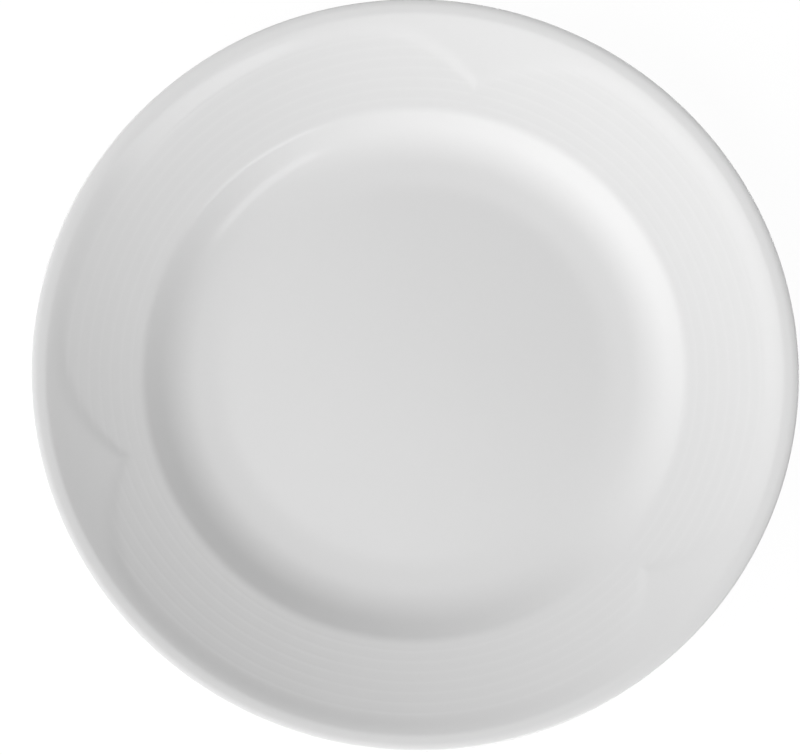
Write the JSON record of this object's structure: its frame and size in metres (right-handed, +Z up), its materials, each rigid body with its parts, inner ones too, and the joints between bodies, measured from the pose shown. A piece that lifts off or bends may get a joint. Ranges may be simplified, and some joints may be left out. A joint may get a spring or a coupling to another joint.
{
  "type": "flat plate",
  "caption": "Round white porcelain dinner plate: flat well, broad sloping rim moulded in fine ribs with smooth pointed darts, rounded lip, glazed all over but for its foot ring.",
  "frame": {"origin": "centre of the plate on the surface that its foot ring stands on", "axes": "+Z up out of the well; +Y towards the middle of one of the smooth darts on the rim; +X to the right"},
  "size_m": [0.25, 0.25, 0.0249],
  "materials": {
    "porcelain": "matte",
    "glaze": "polished"
  },
  "bodies": {
    "root": {"porcelain_body": "porcelain", "face_glaze": "glaze", "base_glaze": "glaze"}
  },
  "joints": []
}
